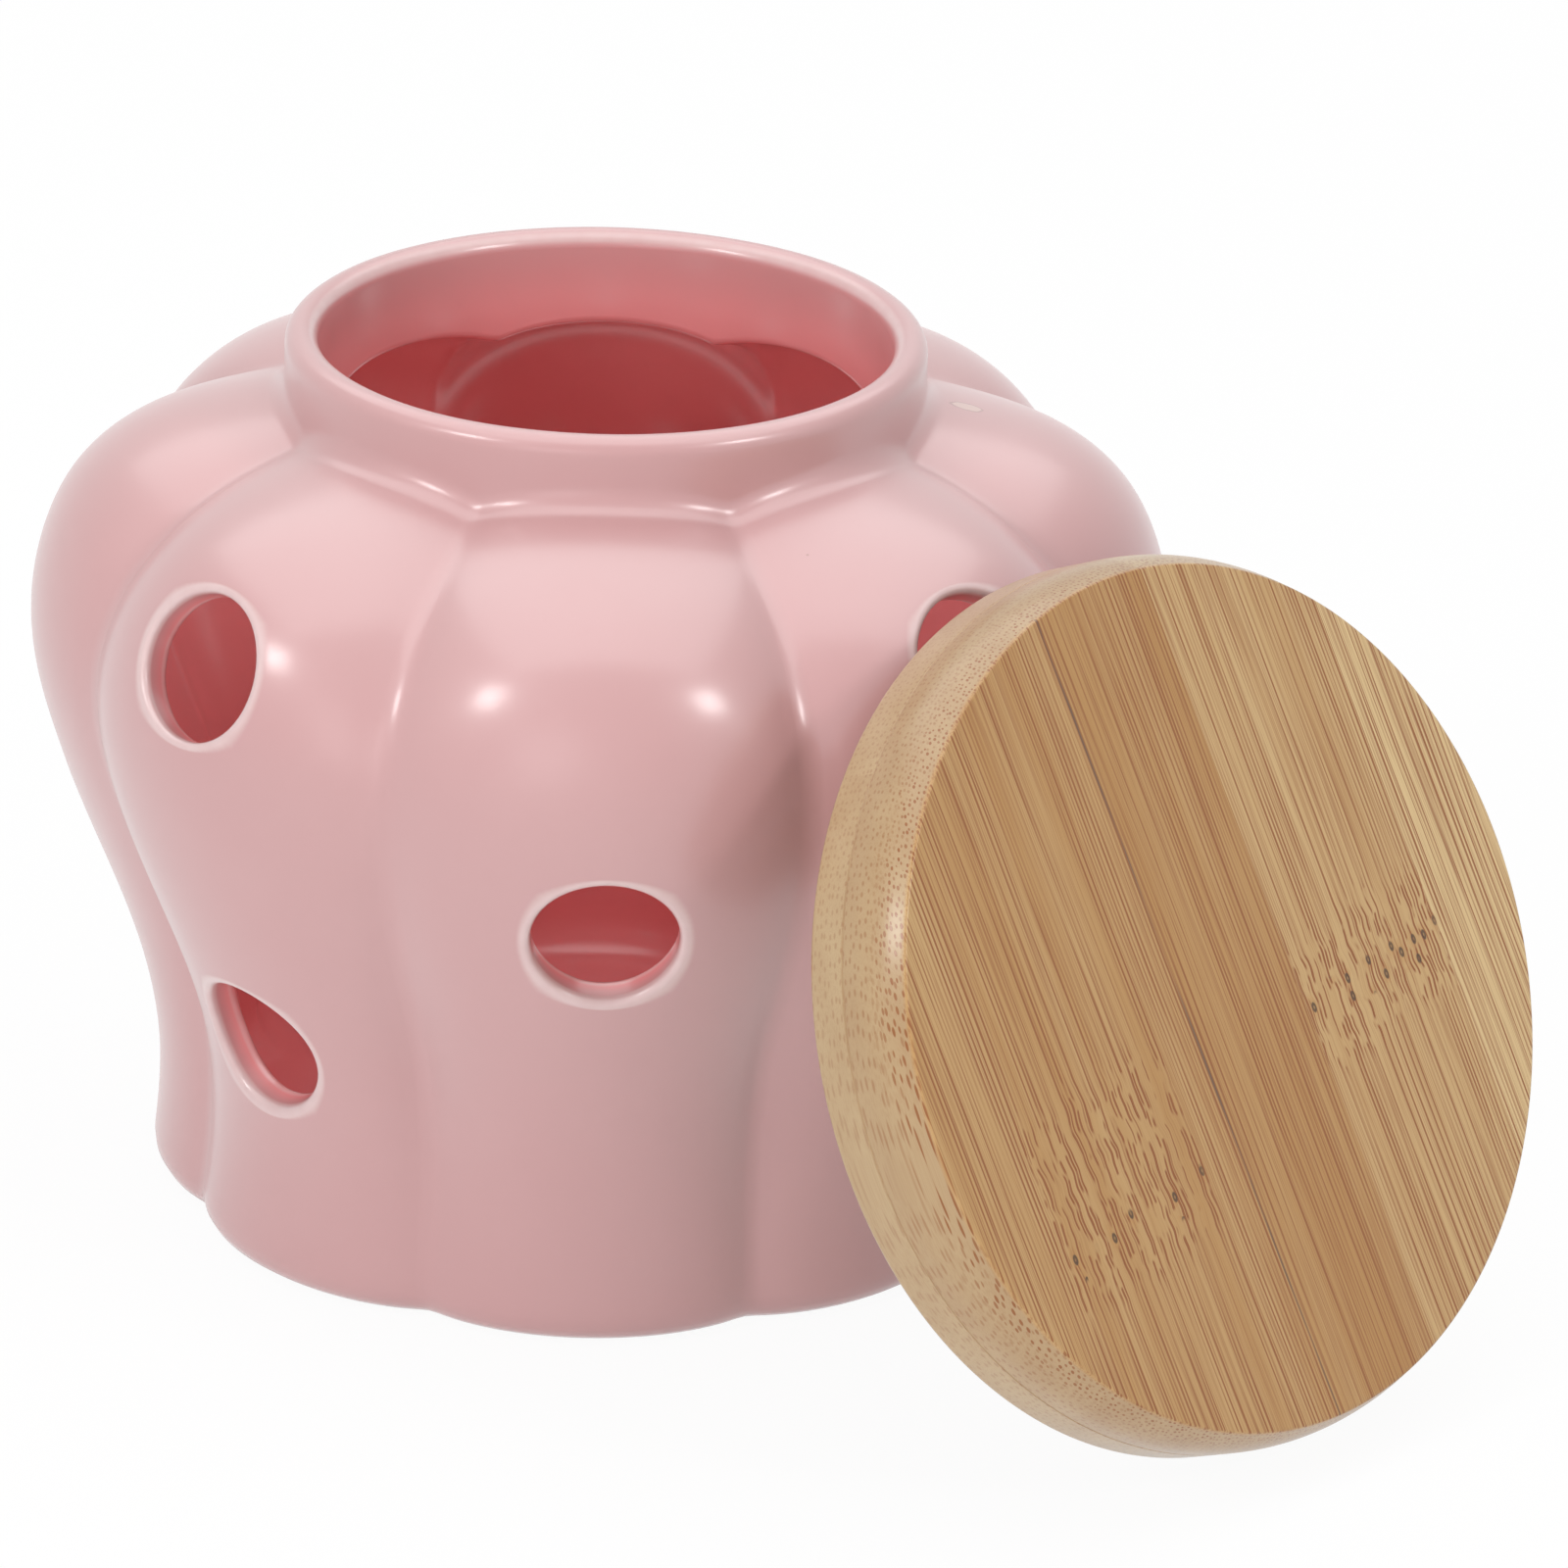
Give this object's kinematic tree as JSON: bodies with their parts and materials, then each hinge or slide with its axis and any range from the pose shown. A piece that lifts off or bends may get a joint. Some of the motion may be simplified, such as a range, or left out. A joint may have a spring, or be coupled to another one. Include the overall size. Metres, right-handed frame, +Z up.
{
  "type": "vented storage jar",
  "caption": "Lobed ceramic keeper with round vents and an open neck, and its bamboo lid with a seal, taken off and leaning on the jar.",
  "frame": {"origin": "centre of the jar's foot, on the surface it stands on", "axes": "+Z up along the jar's axis, out of the mouth; -Y towards the front lobe, so +X is to its right"},
  "size_m": [0.1703, 0.1647, 0.1028],
  "materials": {
    "glaze": "satin",
    "bamboo": "satin",
    "seal": "matte"
  },
  "bodies": {
    "jar": {"jar_body": "glaze"},
    "lid": {"lid_top_strip_1": "bamboo", "lid_top_strip_2": "bamboo", "lid_top_strip_3": "bamboo", "lid_top_strip_4": "bamboo", "lid_top_strip_5": "bamboo", "lid_under_strip_1": "bamboo", "lid_under_strip_2": "bamboo", "lid_under_strip_3": "bamboo", "lid_under_strip_4": "bamboo", "lid_under_strip_5": "bamboo", "lid_plug_strip_1": "bamboo", "lid_plug_strip_2": "bamboo", "lid_plug_strip_3": "bamboo", "seal_ring": "seal"}
  },
  "joints": [
    {"name": "lid_lift", "type": "slide", "parent": "jar", "child": "lid", "axis": [0.6427, -0.6427, 0.4171], "range_m": [0, 0.12]}
  ]
}
